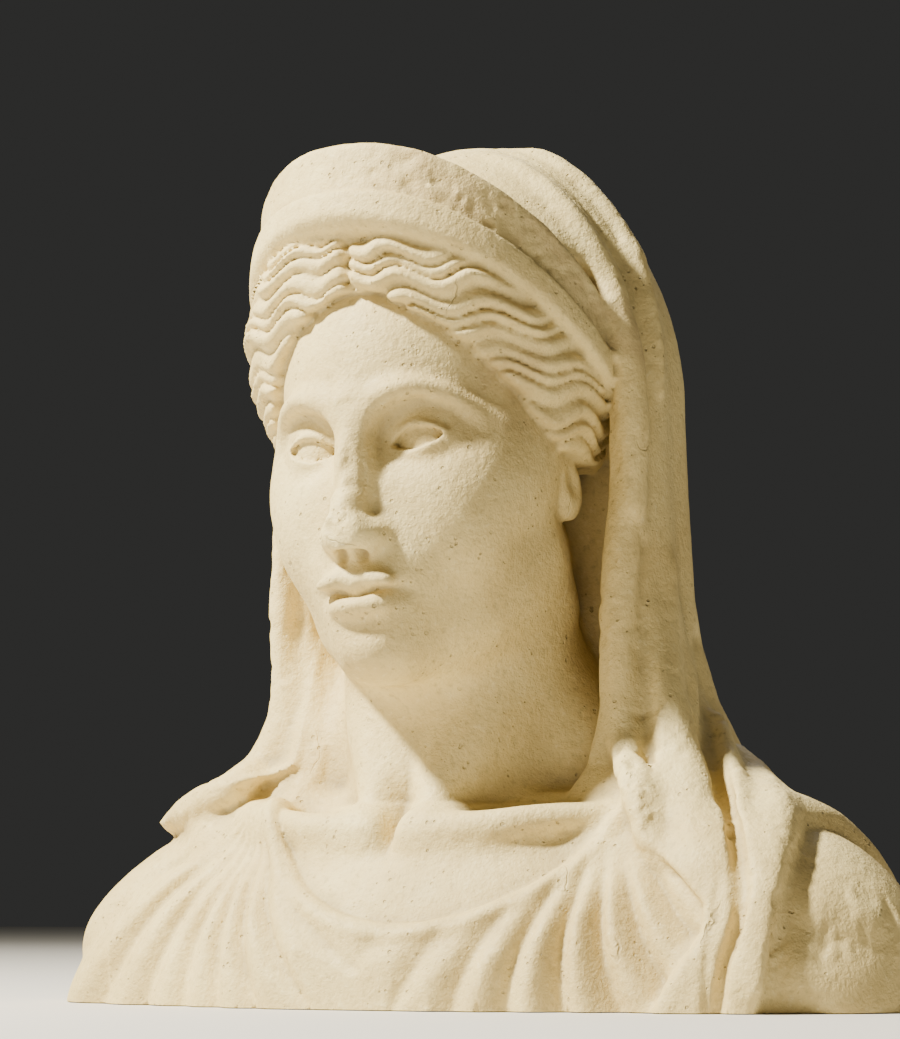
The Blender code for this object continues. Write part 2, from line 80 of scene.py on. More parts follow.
def grain(p, size, seed):
    # smooth noise from -1 to 1 with lumps about one size apart
    q = p / size + np.float32(seed * 7.31)
    cell = np.floor(q).astype(np.int64)
    f = q - cell
    u = f * f * (3 - 2 * f)
    out = np.zeros(len(p), np.float32)
    for i in (0, 1):
        for j in (0, 1):
            for k in (0, 1):
                c = cell + (i, j, k)
                h = (c[:, 0] * 73856093) ^ (c[:, 1] * 19349663) ^ (c[:, 2] * 83492791)
                h = (h * 2654435761 + seed * 97) & 0xffffff
                h = ((h ^ (h >> 9)) * 40503) & 0xffff
                weight = np.where(i, u[:, 0], 1 - u[:, 0]) * np.where(j, u[:, 1], 1 - u[:, 1])
                out += (h / 32767.5 - 1) * weight * np.where(k, u[:, 2], 1 - u[:, 2])
    return out


class Ball:
    # ellipsoid
    def __init__(self, centre, radii, tilt=None):
        self.c, self.r = np.array(centre, np.float32), np.array(radii, np.float32)
        self.m = turned(*tilt) if tilt else None
        reach = np.full(3, self.r.max()) if tilt else self.r
        self.low, self.high = self.c - reach, self.c + reach

    def __call__(self, p):
        q = p - self.c
        if self.m is not None:
            q = q @ self.m
        k0 = np.sqrt(((q / self.r) ** 2).sum(1))
        k1 = np.sqrt(((q / self.r ** 2) ** 2).sum(1))
        return k0 * (k0 - 1) / np.maximum(k1, 1e-6)


class Rope:
    # chain of round cones
    def __init__(self, points, radii):
        self.p = np.array(points, np.float32)
        spread = np.linspace(0, 1, len(self.p))
        self.r = np.interp(spread, np.linspace(0, 1, len(radii)), radii).astype(np.float32)
        self.low = (self.p - self.r[:, None]).min(0)
        self.high = (self.p + self.r[:, None]).max(0)

    def __call__(self, p):
        out = np.full(len(p), 60, np.float32)
        for a, b, ra, rb in zip(self.p[:-1], self.p[1:], self.r[:-1], self.r[1:]):
            q, ab = p - a, b - a
            t = np.clip(q @ ab / max(ab @ ab, 1e-9), 0, 1)
            out = np.minimum(out, np.sqrt(((q - t[:, None] * ab) ** 2).sum(1)) - (ra + (rb - ra) * t))
        return out


class Clay:
    # work in progress: points and their distance to the surface
    def __init__(self, points, depth, both=False):
        self.p, self.d = points, depth
        if both:
            self.p = points.copy()
            self.p[:, 0] = np.abs(self.p[:, 0])

    def near(self, shape, k):
        return np.flatnonzero(((self.p > shape.low - k - 4) & (self.p < shape.high + k + 4)).all(1))

    def add(self, shape, k=0.5):
        i = self.near(shape, k)
        self.d[i] = blendMin(self.d[i], shape(self.p[i]), k)

    def cut(self, shape, k=0.5):
        i = self.near(shape, k)
        self.d[i] = blendMax(self.d[i], -shape(self.p[i]), k)

    def engrave(self, weight, amount):
        i = np.flatnonzero(np.abs(self.d) < 12)
        self.d[i] += amount * weight(self.p[i])


# chest, shoulders, neck and the pleated chiton

chitonSet = {
    "thickness": 3.5, "foldHeight": 6.0, "hemHeight": 2.5,
    "gathers": ((106, 108, 1, 14.0, 3.0), (-92, 108, -1, 15.0, 0.0)),   # x, z, side, pitch, phase in degrees
}
shoulderSet = {
    "hemZ": [0, 12, 21, 31, 40, 53, 65, 74, 85, 106, 133, 150],         # veil's hem on the left breast
    "hemX": [160, 164, 169, 175, 180, 178, 166, 154, 139, 128, 113, 112],
    "flapZ": [0, 16, 31, 50, 70, 85, 100, 115],                         # veil's outer edge on the left arm
    "flapX": [211, 212, 214, 215, 212, 208, 202, 192],
    "underX": [-230, -178, -172, -162, -150, -135, -120, -100, -80],    # lower edge on the right shoulder
    "underZ": [96, 96, 99, 99, 102, 112, 114, 120, 128],
    "leftThickness": 17, "rightThickness": 15,
}


def pleatChiton(body):
    p, d = body.p, body.d
    i = np.flatnonzero((np.abs(d) < 30) & (p[:, 2] < 140))
    x, y, z = p[i].T
    skin = (1 - np.sqrt(((x - 20) / 98) ** 2 + ((z - 126) / 82) ** 2)) * 92 - np.maximum(y + 8, 0)
    folds = np.zeros(len(i), np.float32)
    for gx, gz, side, pitch, phase in chitonSet["gathers"]:
        angle = np.degrees(np.arctan2((gx - x) * side, gz - z))
        away = np.hypot(x - gx, z - gz)
        reach = ramp(away, 10, 65) * ramp(side * x, -14, 14) * ramp(y, 45, 0) * ramp(angle, -78, -50)
        turn = (angle + phase + 2.5 * np.sin(away / 24 + 1.3 * side)) / pitch
        fold = np.floor(turn)
        height = 0.75 + 0.45 * np.abs(np.sin(fold * 2.7 + side))
        folds += chitonSet["foldHeight"] * reach * height * np.sin(math.pi * (turn - fold)) ** 1.3
    folds = folds * (0.3 + 0.7 * ramp(-skin, 6, 32))
    hem = chitonSet["hemHeight"] * np.exp(-((skin + 6) / 4.5) ** 2)
    d[i] = np.minimum(d[i], blendMax(d[i] - chitonSet["thickness"] - folds - hem, skin, 4.5))


def carveTrunk(p):
    d = np.full(len(p), 1000, np.float32)
    body, half = Clay(p, d), Clay(p, d, both=True)
    body.add(Ball((0, 14, -30), (180, 118, 132)))
    body.add(Ball((0, 4, 30), (150, 92, 76)), 40)
    body.add(Ball((-158, 18, 0), (82, 76, 90)), 45)
    body.add(Ball((177, 14, 4), (84, 75, 89)), 45)
    half.add(Rope([(36, 26, 160), (95, 26, 104), (155, 24, 48)], [34, 32, 28]), 36)
    body.add(Rope([(0, 8, 235), (0, 14, 100)], [58, 62]), 26)
    half.add(Rope([(56, 6, 212), (34, -30, 150), (11, -58, 96)], [9, 9, 7]), 24)
    body.cut(Ball((0, -72, 98), (11, 13, 11)), 22)
    collarbone = [(12, -68, 91), (50, -66, 94), (90, -46, 99), (130, -12, 98)]
    half.add(Rope(curveThrough(collarbone, 12), [5, 6, 6, 6]), 22)
    bare = d.copy()
    pleatChiton(body)
    x, y, z = p.T
    s = shoulderSet
    outer = x - np.interp(z, s["flapZ"], s["flapX"]) - 0.15 * np.maximum(y, 0)
    inner = np.interp(z, s["hemZ"], s["hemX"]) - x
    left = blendMax(bare - s["leftThickness"], 0.9 * np.maximum(inner, outer), 7)
    under = np.maximum(np.interp(x, s["underX"], s["underZ"]) - z, x + 84)
    cover = np.maximum(ramp(under, 5, -3), ramp(y, 5, 75)) * s["rightThickness"]   # thins out round the arm
    right = blendMax(bare - cover, 0.8 * np.minimum(under, np.maximum(x + 60, 5 - y)), 6)
    return blendMin(blendMin(d, left, 2), right, 2)


# veil, hanging from the crown over both shoulders

veilSet = {
    "z": [0, 40, 72, 93, 109, 120, 136, 163, 190, 217, 271, 316],
    "left": [226, 216, 200, 184, 170, 159, 144, 128, 119, 114, 111, 109],
    "right": [200, 192, 184, 178, 170, 158, 134, 117, 110, 109, 109, 109],
    "depth": [112, 112, 112, 112, 112, 112, 112, 112, 112, 113, 114, 113],
    "y": 28, "backFolds": 17, "backFoldHeight": 3.2, "crownHeight": 151, "frontCut": 392, "frontSlope": 0.62,
    "rolls": (   # raised folds: points, radii, softness
        ([(24, -6, 452), (43, -6, 444), (64, -6, 427), (80, -4, 406), (89, 0, 389), (98, 0, 365),
          (104, 0, 339), (107, 0, 300), (108, -2, 262)], [4, 6, 7, 7.5, 8, 8.5, 9, 9, 6], 6),
        ([(14, 26, 463), (38, 27, 460), (58, 30, 445), (75, 32, 424), (92, 30, 399), (101, 27, 374),
          (107, 26, 350), (110, 26, 326)], [2, 4, 6, 7, 7, 6, 5, 2], 6),
        ([(104, 4, 271), (101, 1, 244), (100, 0, 212), (101, -2, 186), (103, -4, 159), (111, -11, 135),
          (129, -36, 111), (138, -41, 91)], [6, 9, 11, 11, 10, 10, 9, 7], 7),
        ([(111, 30, 232), (113, 22, 203), (120, 8, 170), (131, -5, 138), (149, -21, 106), (171, -46, 75),
          (179, -46, 53)], [2, 6, 9, 12, 13, 11, 7], 12),
        ([(134, 42, 152), (148, 21, 128), (173, -15, 101), (193, -45, 70), (202, -59, 41), (202, -66, 14)],
         [3, 8, 10, 10, 9, 8], 9),
        ([(140, 58, 134), (159, 39, 120), (189, -4, 101), (205, -37, 75), (209, -56, 45), (209, -65, 14)],
         [3, 7, 9, 8, 8, 8], 9),
        ([(-78, -2, 408), (-92, -2, 385), (-100, -2, 355), (-105, -2, 320), (-106, -4, 260), (-107, -8, 210),
          (-105, -8, 165)], [1, 4, 6, 8, 8, 7, 4], 8),
        ([(-106, 2, 199), (-104, -4, 165), (-107, -9, 143), (-115, -15, 128), (-120, -34, 117),
          (-144, -28, 109), (-163, -17, 104), (-184, 2, 99)], [9, 10, 10, 9, 9, 9, 8, 6], 7),
        ([(-95, 21, 205), (-86, 12, 172), (-80, 2, 142), (-83, -8, 112)], [8, 12, 15, 15], 18),
        ([(104, -14, 140), (118, -32, 121), (133, -45, 103), (140, -49, 85), (154, -46, 73), (168, -46, 64),
          (179, -54, 52), (182, -60, 40), (175, -66, 26), (166, -74, 8), (160, -79, -10)],
         [2, 5, 6, 6, 6, 6, 6.5, 6.5, 6, 6, 6], 7),
    ),
    "furrows": (
        ([(20, 11, 463), (43, 11, 456), (66, 12, 438), (82, 13, 418), (94, 14, 400), (103, 13, 375),
          (110, 13, 345), (113, 12, 312), (114, 10, 275)], [1.5, 2.5, 3, 3.5, 4, 4.5, 5, 4, 2], 4),
        ([(133, 12, 152), (146, 4, 133), (164, -13, 111), (184, -40, 88), (196, -60, 64), (198, -67, 44),
          (193, -73, 22), (190, -76, -8)], [1, 3, 4, 4, 4, 3.5, 3, 2.5], 5),
        ([(111, 6, 240), (113, 0, 205), (117, -7, 172), (121, -14, 145), (128, -26, 120), (136, -40, 98)],
         [1, 2.5, 3, 2.5, 1.5, 0.5], 9),
        ([(114, 63, 195), (131, 39, 161), (150, 6, 128), (170, -23, 101)], [2, 5, 5, 3], 8),
        ([(212, 52, 106), (215, 30, 103), (217, 8, 98), (218, -16, 87), (219, -38, 73), (220, -54, 50),
          (219, -62, 30), (218, -66, 12), (217, -68, -10)], [1, 2.5, 4, 5, 5.5, 6, 6, 6, 6], 6),
    ),
}
veilRolls = [(Rope(curveThrough(points, 30), radii), soft) for points, radii, soft in veilSet["rolls"]]
veilFurrows = [(Rope(curveThrough(points, 30), radii), soft) for points, radii, soft in veilSet["furrows"]]
crownForm = Ball((0, veilSet["y"], veilSet["z"][-1]),
                 (veilSet["left"][-1], veilSet["depth"][-1], veilSet["crownHeight"]))


def hangVeil(p):
    s = veilSet
    x, y, z = p.T
    back = y - s["y"]
    a = np.where(x > 0, np.interp(z, s["z"], s["left"]), np.interp(z, s["z"], s["right"]))
    b = np.interp(z, s["z"], s["depth"])
    k0 = np.sqrt((x / a) ** 2 + (back / b) ** 2)
    k1 = np.sqrt((x / a / a) ** 2 + (back / b / b) ** 2)
    spread = np.interp(z, [70, 95, 125, 160, 190], [1.6, 1.3, 1.0, 0.4, 0.0])
    sides = k0 * (k0 - 1) / np.maximum(k1, 1e-5) / np.sqrt(1 + spread ** 2)
    outer = np.where(z > s["z"][-1], crownForm(p), sides)
    around = np.arctan2(x, s["y"] - y)
    wave = np.sin(around * s["backFolds"] + 0.9 * np.sin(z / 60 + 2 * around) + 0.5 * np.sin(3 * around))
    fade = (0.75 * ramp(z, 470, 330) + 0.25 * ramp(z, 440, 400)) * (0.55 + 0.45 * ramp(z, 300, 80))
    outer = outer - s["backFoldHeight"] * ramp(y, 5, 50) * wave * fade
    front = np.interp(z, [0, 60, 95, 125, 160, 200, 300], [-62, -62, -40, -18, -8, -4, -2])
    d = blendMax(outer, np.minimum(front - y, s["frontCut"] - s["frontSlope"] * (y + 15) - z), 8)
    hollow = (np.sqrt((x / 95) ** 2 + (back / 97) ** 2) - 1) * 95
    hollow = np.maximum(np.maximum(hollow, y - 40), np.maximum(112 - z, z - 325))
    return blendMax(d, -hollow, 8).astype(np.float32)


# head, in its own frame with the eyes level with z = 0

headSet = {
    "at": (-3, -14, 295), "tilt": (3, -3, 1), "diademTilt": (0, 0, -5),
    "eye": (31.5, -63.5, -1), "eyeRadius": 17.9, "lidRadius": 21.4,
}


class Almond:
    # opening between the eyelids
    def __init__(self, eye):
        self.eye = eye
        self.low = np.array([eye[0] - 18, -110, eye[2] - 9], np.float32)
        self.high = np.array([eye[0] + 18, -62, eye[2] + 11], np.float32)

    def __call__(self, p):
        t = (p[:, 0] - self.eye[0]) / 15
        full = np.clip(1 - t * t, 0, 1)
        z = p[:, 2] - self.eye[2] - 1.4 * t
        lids = np.maximum(z - 8.0 * full ** 0.8, -5.6 * full ** 0.85 - z)
        return np.maximum(lids, np.maximum((np.abs(t) - 1) * 15, p[:, 1] + 76.0))


def lidRim(eye, rise):
    # edge of an eyelid, rising above or falling below the middle of the eye
    t = np.linspace(-1, 1, 15)
    x, z = 15.6 * t, rise * (1 - t * t) ** 0.85 + 1.4 * t
    y = -np.sqrt(20.3 ** 2 - x * x - z * z)
    return np.stack([x, y, z], -1) + eye


def lipLine(q):
    x = np.abs(q[:, 0])
    middle = -78 - 1.6 * np.cos(x / 16 * math.pi) * ramp(x, 26, 12)
    return (q[:, 1] < -60) * np.exp(-((q[:, 2] - middle) / 1.4) ** 2) * ramp(x, 27, 20)


def carveFace(head, half):
    head.add(Ball((0, 4, 30), (78, 97, 93)))
    head.add(Ball((0, -30, -48), (62, 64, 74)), 30)
    half.add(Rope([(49, -4, -60), (34, -40, -90), (10, -70, -105)], [16, 15, 14]), 26)
    head.add(Ball((0, -79, -103), (18, 18, 17)), 22)
    half.add(Ball((38, -58, -38), (27, 24, 32)), 24)
    half.add(Ball((59, -30, -14), (15, 28, 24)), 26)
    head.add(Ball((0, -74, -72), (30, 25, 26)), 18)
    # eye sockets and brows
    half.cut(Ball((31, -103, 3), (27, 23, 14), (0, -4, 14)), 18)
    half.cut(Ball((15, -98, 4), (7, 12, 12)), 8)
    brow = [(9, -91, 17), (20, -90.5, 23.5), (34, -87, 26), (48, -77, 21.5), (58, -64, 12), (65, -50, 0)]
    half.add(Rope(curveThrough(brow, 16), [4.2, 4.2, 3.8, 3.2, 2.6, 1.5]), 10)
    # nose
    head.add(Rope([(0, -87, 20), (0, -93, 4), (0, -99, -24), (0, -105, -46)], [8.5, 8, 9, 10.5]), 12)
    head.add(Ball((0, -108, -47), (10.5, 11, 9.5)), 5)
    half.add(Ball((11.5, -97, -49), (7.5, 12, 7.5), (0, 0, -16)), 7)
    half.cut(Ball((5.6, -103, -59), (3.2, 6.5, 5.0), (0, 0, -14)), 2)
    head.cut(Ball((1, -126, -42), (16, 13, 25)), 5)
    # eyes
    eye, r, lid = headSet["eye"], headSet["eyeRadius"], headSet["lidRadius"]
    half.add(Ball(eye, (lid, lid, lid)), 3.5)
    half.cut(Almond(eye), 0.8)
    half.add(Ball(eye, (r, r, r)), 0.5)
    for lids, radius in ((8.6, 1.9), (-6.2, 1.5)):
        half.add(Rope(lidRim(eye, lids), [0.7, radius, radius, radius, 0.7]), 1.2)
    crease = [(13.5, -85, 1), (21, -87, 10), (31, -86.5, 12.5), (42, -80, 9.5), (47, -75, 5)]
    half.cut(Rope(curveThrough(crease, 16), [0.9, 1.4, 1.6, 1.4, 0.8]), 3.5)
    # mouth and chin
    half.add(Ball((8.5, -97, -70), (15, 8, 5.2), (0, 14, -20)), 4)
    head.add(Ball((0, -99.5, -71.5), (5, 5.5, 4.5)), 4)
    head.add(Ball((0, -95.5, -85), (18.5, 9.5, 7.2)), 4)
    head.engrave(lipLine, 2.6)
    half.cut(Ball((26, -94, -79), (3, 4, 3)), 6)
    head.cut(Rope([(0, -107, -58), (0, -108, -66)], [3.2, 3.4]), 5)
    head.cut(Ball((0, -109, -97), (20, 10, 5.5)), 9)


hairSet = {
    "lineTurn": [0, 8, 15, 30, 45, 60, 68, 80, 95, 125],      # degrees from the parting
    "lineZ": [80, 78, 74, 62, 44, 22, 4, -8, -13, -16],       # edge of the hair on the skin
    "drop": 0.13, "waveLength": 42.0, "waveHeight": 3.1, "lockWidth": 8.4, "depth": 4.6,
}


def carveHair(head, half):
    # wavy locks run back on both sides from a centre parting, each with a rounded end at the skin
    s = hairSet
    p, d = head.p, head.d
    i = np.flatnonzero((p[:, 2] > -60) & (p[:, 2] < 140) & (p[:, 1] < 60))
    x, y, z = p[i].T
    ring = np.sqrt((x / 93) ** 2 + ((y - 2) / 101) ** 2)
    mass = ((ring ** 2.7 + (np.abs(z - 30) / 110) ** 2.7) ** (1 / 2.7) - 1) * 97
    near = np.flatnonzero(mass < 22)
    i, x, y, z, mass = i[near], x[near], y[near], z[near], mass[near]
    side = np.sign(x)
    turn = np.degrees(np.arctan2(np.abs(x), -0.9 * (y - 2)))
    arc = np.radians(turn) * 97
    rise = z - np.interp(turn, s["lineTurn"], s["lineZ"])
    grow = ramp(turn, 1, 11)
    phase = 2 * math.pi * arc / s["waveLength"]
    level = z + s["drop"] * arc + s["waveHeight"] * grow * np.sin(phase + 0.05 * z + 1.0 + 0.6 * side)
    level = level + 1.1 * grow * np.sin(0.047 * arc + 0.13 * z + 2 * side)
    place = level / s["lockWidth"] + 0.25 * side
    place = place + 0.2 * np.sin(2.1 * place + side)
    lock = np.floor(place)
    f = place - lock
    # each lock has its own fixed lift, from 0 to 1, scattered by the sine
    lift = np.sin(lock * 12.9898 + side * 4.1) * 43758.5453
    lift = lift - np.floor(lift)
    dome = np.sin(math.pi * f) ** 0.75
    strand = np.exp(-((f - 0.56 - 0.1 * np.sin(0.6 * phase + 5 * lift)) / 0.12) ** 2)
    relief = dome * (s["depth"] + grow * (1.8 * (lift - 0.5) + 1.0 * np.sin(0.7 * phase + 6 * lift)))
    relief = relief - 0.5 * strand - 3.5 * np.exp(-(x / 2.6) ** 2)
    thin = 13.5 * ramp(rise, 38, -2)
    edge = -0.8 * (rise + 0.5) + 2.6 * (1 - dome) * grow
    locks = blendMax(mass - relief - 3.2 + thin, edge, 3.5)
    locks = np.maximum(locks, z - 50 + 0.7 * y + 0.05 * x)
    d[i] = blendMin(d[i], locks, 1.0)
    # lower half of each ear
    half.add(Ball((71, 6, -26), (8, 11, 18), (14, 0, 0)), 5)
    half.cut(Ball((79, 3, -24), (4, 5, 9), (14, 0, 0)), 3)


diademSet = {
    "share": [-0.1, 0.0, 0.06, 0.33, 0.38, 0.42, 0.9, 1.0],   # of the band's height
    "swell": [-2, 2.5, 4.0, 4.2, 3.6, 0, 1.5, 1.5],           # how far the band stands out there
    "halfWidth": 100, "halfDepth": 101, "thickness": 12, "backEnd": 32, "crownRise": 46,
}


def diademEdges(y):
    # lower and upper edge of the band, rising to the front
    return 38 - 0.7 * y, blendMin(83 - 0.79 * y, np.full(len(y), 158.0), 10)


def carveDiadem(head):
    # upright band, higher in front, with a plain fillet along its lower edge
    s = diademSet
    p, d = head.p, head.d
    i = np.flatnonzero((p[:, 2] > 10) & (p[:, 1] < 45))
    x, y, z = p[i, 0], p[i, 1] - 2, p[i, 2]
    low, high = diademEdges(y)
    t = (z - low) / (high - low)
    swell = np.interp(t, s["share"], s["swell"])
    a, b = s["halfWidth"] + swell - 2 * t, s["halfDepth"] + swell - 9 * t
    k0 = np.sqrt((x / a) ** 2 + (y / b) ** 2)
    k1 = np.sqrt((x / a ** 2) ** 2 + (y / b ** 2) ** 2)
    wall = k0 * (k0 - 1) / np.maximum(k1, 1e-5)
    band = blendMax(wall, 0.85 * np.maximum(z - high, low - z), 5)
    hollow = np.maximum(wall + s["thickness"], 0.85 * (high - 5 - z))
    band = np.maximum(blendMax(band, -hollow, 3), y - s["backEnd"])
    # the veil drawn forward over the head to the back of the rim
    crown = s["crownRise"] * np.clip(1 - (x / a) ** 2 - (y / b) ** 2, 0, 1)
    cap = np.maximum(np.maximum(wall + 3, 0.85 * (z - high + 6 - crown)), low + 20 - z)
    d[i] = np.minimum(blendMin(d[i], cap, 14), band)


def bustDepth(p):
    p = p.astype(np.float32)
    d = blendMin(carveTrunk(p), hangVeil(p), 6).astype(np.float32)
    bust = Clay(p, d)
    for roll, soft in veilRolls:
        bust.add(roll, soft)
    for furrow, soft in veilFurrows:
        bust.cut(furrow, soft)
    fromHead = p - np.array(headSet["at"], np.float32)
    q, crown = fromHead @ turned(*headSet["tilt"]), fromHead @ turned(*headSet["diademTilt"])
    head, half = Clay(q, d), Clay(q, d, both=True)
    carveFace(head, half)
    carveHair(head, half)
    carveDiadem(Clay(crown, d))
    weather(p, q, crown, d)
    return d


# wear and breakage

wearSet = {"skin": 0.12, "cloth": 0.3, "rollPits": 1.5, "diademPits": 1.0, "noseBreak": 3.0, "chinPits": 0.8}


def weather(p, q, crown, d):
    near = np.flatnonzero(np.abs(d) < 5)
    p, q, crown = p[near], q[near], crown[near]
    s = wearSet
    lumps, pits, fine = grain(p, 13, 1), grain(p, 5.5, 2), grain(p, 3.2, 3)
    face = np.exp(-((q[:, 0] / 62) ** 2 + ((q[:, 1] + 70) / 45) ** 2 + ((q[:, 2] + 20) / 90) ** 2) ** 2)
    change = (s["cloth"] * (1 - face) + s["skin"] * face) * (0.6 * lumps + 0.5 * pits)
    # pitted outer edges of the veil's rolls
    for roll, soft in veilRolls:
        i = np.flatnonzero(((p > roll.low - 8) & (p < roll.high + 8)).all(1))
        reach = np.exp(-(np.maximum(roll(p[i]), 0) / 3) ** 2) * ramp(lumps[i], -0.5, 0.3)
        change[i] += s["rollPits"] * reach * np.maximum(0.35 * pits[i] + 0.8 * fine[i], 0)
    # eroded field of the diadem, worst on its left side
    y = crown[:, 1] - 2
    low, high = diademEdges(y)
    t = (crown[:, 2] - low) / (high - low)
    field = ramp(t, 0.42, 0.5) * ramp(t, 0.96, 0.82) * (y < 5) * (0.12 + 0.88 * ramp(crown[:, 0], -20, 60))
    worm = 1 - 3 * np.abs(grain(p, 7, 5) + 0.5 * grain(p, 3.5, 6))
    change += s["diademPits"] * field * (0.3 - 0.7 * worm + 0.3 * fine)
    # broken ridge and tip of the nose
    nose = np.exp(-((q[:, 0] / 9) ** 2 + ((q[:, 2] + 26) / 30) ** 2) ** 2) * ramp(q[:, 1], -94, -104)
    change += s["noseBreak"] * nose * (0.4 + 0.5 * lumps + 0.5 * pits + 0.4 * fine)
    # chin and brows
    chin = np.exp(-((q[:, 0] / 20) ** 2 + ((q[:, 1] + 95) / 14) ** 2 + ((q[:, 2] + 108) / 14) ** 2))
    brow = np.exp(-(((np.abs(q[:, 0]) - 34) / 20) ** 2 + ((q[:, 2] - 22) / 7) ** 2)) * (q[:, 1] < -70)
    change += s["chinPits"] * (chin + 0.6 * brow) * np.maximum(pits + 0.6 * fine, 0)
    # a rough chip on the left arm, streaked downwards
    patch = np.exp(-((p[:, 0] - 240) / 16) ** 2 - ((p[:, 2] - 42) / 26) ** 2)
    chip = ramp(0.35 * lumps + patch, 0.45, 0.75) * (p[:, 1] < 0)
    change += 1.5 * chip * (0.6 + 0.6 * grain(p * (1, 1, 0.3), 3.5, 8) + 0.4 * pits)
    d[near] += change


# the carving's surface as a mesh

carveSet = {
    "step": 1.5, "block": 4, "low": (-291, -150, -12), "high": (300, 165, 486),
    "unit": 0.001, "quickFactor": 1.6, "rubStrength": 0.5, "rubTimes": 3, "triangles": 190000,
}
corners = [(i, j, k) for i in (0, 1) for j in (0, 1) for k in (0, 1)]


def sampleDepth(step):
    # the depth on a fine grid, worked out only in the coarse cells that the surface may cross
    block, low = carveSet["block"], np.array(carveSet["low"], float)
    wide = step * block
    cells = np.ceil((np.array(carveSet["high"]) - low) / wide).astype(int)
    axes = [low[a] + wide * np.arange(cells[a] + 1) for a in range(3)]
    nodes = np.stack(np.meshgrid(*axes, indexing="ij"), -1).reshape(-1, 3)
    coarse = np.concatenate([bustDepth(b) for b in np.array_split(nodes, 8)]).reshape(cells + 1)
    close = np.abs(coarse) < 1.6 * wide
    hit = np.zeros(cells, bool)
    for i, j, k in corners:
        hit |= close[i:cells[0] + i, j:cells[1] + j, k:cells[2] + k]
    depth = np.where(coarse[:-1, :-1, :-1] < 0, -wide, wide).astype(np.float32)
    for a in range(3):
        depth, hit = depth.repeat(block, a), hit.repeat(block, a)
    spots = np.flatnonzero(hit)
    flat = depth.reshape(-1)
    for part in np.array_split(spots, max(1, len(spots) // 300000)):
        where = np.stack(np.unravel_index(part, depth.shape), -1)
        flat[part] = bustDepth(low + where * step)
    depth = flat.reshape(depth.shape)
    for a in range(3):
        edge = [slice(None)] * 3
        for end in (0, -1):
            edge[a] = end
            depth[tuple(edge)] = wide
    return depth


def netSurface(depth, step):
    # one vertex in each cell that the surface crosses, one quad on each grid edge that it crosses
    inside = depth < 0
    n = np.array(depth.shape) - 1
    count = sum(inside[i:n[0] + i, j:n[1] + j, k:n[2] + k].astype(np.int8) for i, j, k in corners)
    cell = np.flatnonzero((count > 0) & (count < 8))
    at = np.stack(np.unravel_index(cell, tuple(n)), -1)
    value = {c: depth[tuple((at + c).T)] for c in corners}
    total, hits = np.zeros((len(at), 3)), np.zeros(len(at))
    for a in corners:
        for axis in range(3):
            if a[axis]:
                continue
            b = tuple(v + (m == axis) for m, v in enumerate(a))
            cross = (value[a] < 0) != (value[b] < 0)
            t = value[a][cross] / (value[a][cross] - value[b][cross])
            total[cross] += np.array(a) + t[:, None] * (np.array(b) - np.array(a))
            hits[cross] += 1
    points = np.array(carveSet["low"], float) + (at + total / hits[:, None]) * step
    index = np.full(tuple(n), -1, np.int32)
    index.reshape(-1)[cell] = np.arange(len(cell))
    quads = []
    for axis in range(3):
        u, v = (axis + 1) % 3, (axis + 2) % 3
        first = np.moveaxis(inside, (axis, u, v), (0, 1, 2))
        i, j, k = np.nonzero(first[:-1, 1:-1, 1:-1] != first[1:, 1:-1, 1:-1])
        out = first[i, j + 1, k + 1]
        spun = np.moveaxis(index, (axis, u, v), (0, 1, 2))
        q = np.stack([spun[i, j, k], spun[i, j + 1, k], spun[i, j + 1, k + 1], spun[i, j, k + 1]], -1)
        q[~out] = q[~out][:, ::-1]
        quads.append(q)
    return points, np.concatenate(quads)


def makeMesh(name, points, quads):
    mesh = bpy.data.meshes.new(name)
    mesh.vertices.add(len(points))
    mesh.vertices.foreach_set("co", points.astype(np.float32).ravel())
    mesh.loops.add(quads.size)
    mesh.loops.foreach_set("vertex_index", quads.astype(np.int32).ravel())
    mesh.polygons.add(len(quads))
    mesh.polygons.foreach_set("loop_start", np.arange(0, quads.size, 4, dtype=np.int32))
    mesh.update(calc_edges=True)
    return mesh


def selectOnly(piece):
    bpy.ops.object.select_all(action="DESELECT")
    bpy.context.view_layer.objects.active = piece
    piece.select_set(True)


